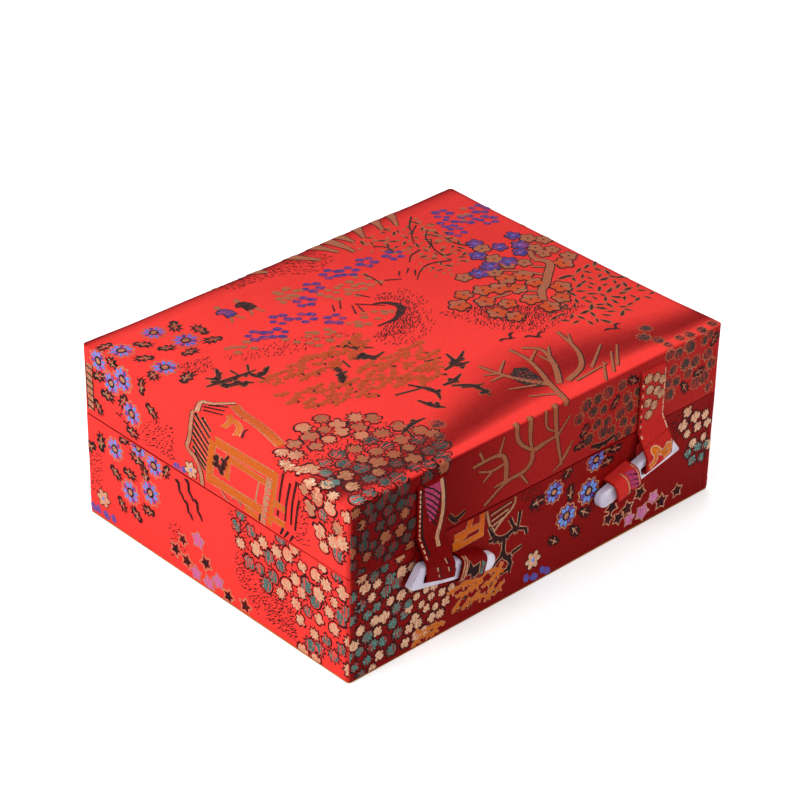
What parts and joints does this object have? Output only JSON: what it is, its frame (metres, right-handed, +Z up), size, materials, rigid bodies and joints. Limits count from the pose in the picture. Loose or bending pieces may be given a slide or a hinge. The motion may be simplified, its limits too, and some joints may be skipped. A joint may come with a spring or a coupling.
{
  "type": "brocade box",
  "caption": "Hinged card box covered in red figured brocade, with a padded lid, satin lining and peg-and-loop clasps on the front.",
  "frame": {"origin": "middle of the flat underside", "axes": "+X along the length, +Y towards the hinge side, +Z up through the lid; the clasps are on -Y"},
  "size_m": [0.1806, 0.1467, 0.071],
  "materials": {
    "red_brocade": "satin",
    "gold_satin": "satin",
    "gold_paper": "satin",
    "greyboard": "matte",
    "collar_card": "matte",
    "foam": "matte",
    "white_peg": "gloss"
  },
  "bodies": {
    "base": {"base_floor_board": "greyboard", "base_front_board": "greyboard", "base_back_board": "greyboard", "base_left_board": "greyboard", "base_right_board": "greyboard", "collar_front_board": "collar_card", "collar_back_board": "collar_card", "collar_left_board": "collar_card", "collar_right_board": "collar_card", "underside_card": "gold_paper", "base_brocade": "red_brocade", "collar_satin": "gold_satin", "base_cushion_foam": "foam", "base_cushion_satin": "gold_satin", "hinge_cloth": "red_brocade", "left_loop": "red_brocade", "right_loop": "red_brocade"},
    "lid": {"lid_top_board": "greyboard", "lid_front_board": "greyboard", "lid_back_board": "greyboard", "lid_left_board": "greyboard", "lid_right_board": "greyboard", "lid_foam_pad": "foam", "lid_brocade": "red_brocade", "lid_lining": "gold_satin", "lid_ceiling_foam": "foam", "lid_ceiling_satin": "gold_satin"},
    "left_strap": {"left_strap": "red_brocade"},
    "left_peg": {"left_peg": "white_peg"},
    "right_strap": {"right_strap": "red_brocade"},
    "right_peg": {"right_peg": "white_peg"}
  },
  "joints": [
    {"name": "lid_hinge", "type": "hinge", "parent": "base", "child": "lid", "pos_m": [0, 0.0706, 0.0424], "axis": [-1, 0, 0], "range_deg": [0, 175], "deforming": ["hinge_cloth"]},
    {"name": "left_strap_swing", "type": "hinge", "parent": "lid", "child": "left_strap", "pos_m": [-0.054, -0.07055, 0.0661], "axis": [-1, 0, 0], "range_deg": [0, 120], "deforming": ["left_strap"]},
    {"name": "left_peg_slide", "type": "slide", "parent": "left_strap", "child": "left_peg", "axis": [-0.9636, 0, 0.2672], "range_m": [0, 0.021], "deforming": ["left_loop"]},
    {"name": "right_strap_swing", "type": "hinge", "parent": "lid", "child": "right_strap", "pos_m": [0.054, -0.07055, 0.0661], "axis": [-1, 0, 0], "range_deg": [0, 120], "deforming": ["right_strap"]},
    {"name": "right_peg_slide", "type": "slide", "parent": "right_strap", "child": "right_peg", "axis": [0.9636, 0, 0.2672], "range_m": [0, 0.021], "deforming": ["right_loop"]}
  ]
}
